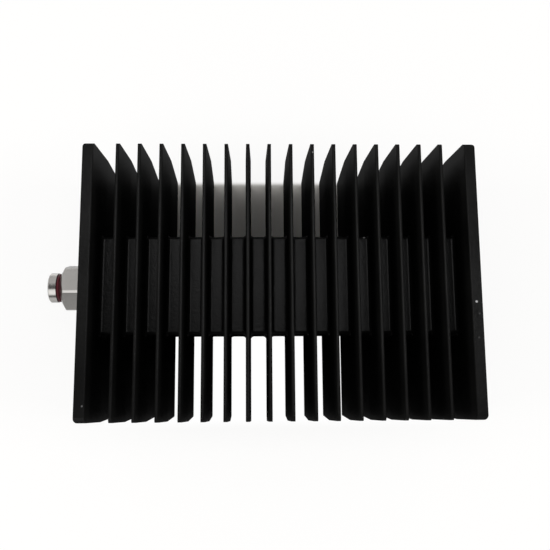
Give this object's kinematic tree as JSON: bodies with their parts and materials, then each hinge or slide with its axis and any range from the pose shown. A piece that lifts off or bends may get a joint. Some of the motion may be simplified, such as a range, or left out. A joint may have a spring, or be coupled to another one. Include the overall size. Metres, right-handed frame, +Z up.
{
  "type": "rf dummy load",
  "caption": "Finned RF load: a black cast heat sink with a silver coaxial jack on one end, which turns radio-frequency power into heat.",
  "frame": {"origin": "centre of the part's box, on the plane of the back fin tips that it rests on", "axes": "+X along the connector's axis, away from the connector; +Y along the height of the fins; +Z up, from the back fin tips to the front ones"},
  "size_m": [0.2834, 0.1806, 0.095],
  "materials": {
    "black_casting": "satin black coat on cast aluminium",
    "plated_shell": "satin silvery plate",
    "red_silicone": "matt",
    "black_rubber": "matt",
    "white_bead": "waxy",
    "gold_contact": "bright plate",
    "bare_brass": "turned",
    "silver_cup": "satin plate",
    "resistor_film": "matt film",
    "white_ceramic": "matt"
  },
  "bodies": {
    "root": {"heat_sink": "black_casting", "connector_body": "plated_shell", "front_ring": "red_silicone", "port_seal": "black_rubber", "contact_bead": "white_bead", "bead_bush": "bare_brass", "centre_contact": "gold_contact", "input_cup": "silver_cup", "resistor_rod": "resistor_film", "heat_spreader": "white_ceramic", "ground_cup": "silver_cup"}
  },
  "joints": []
}
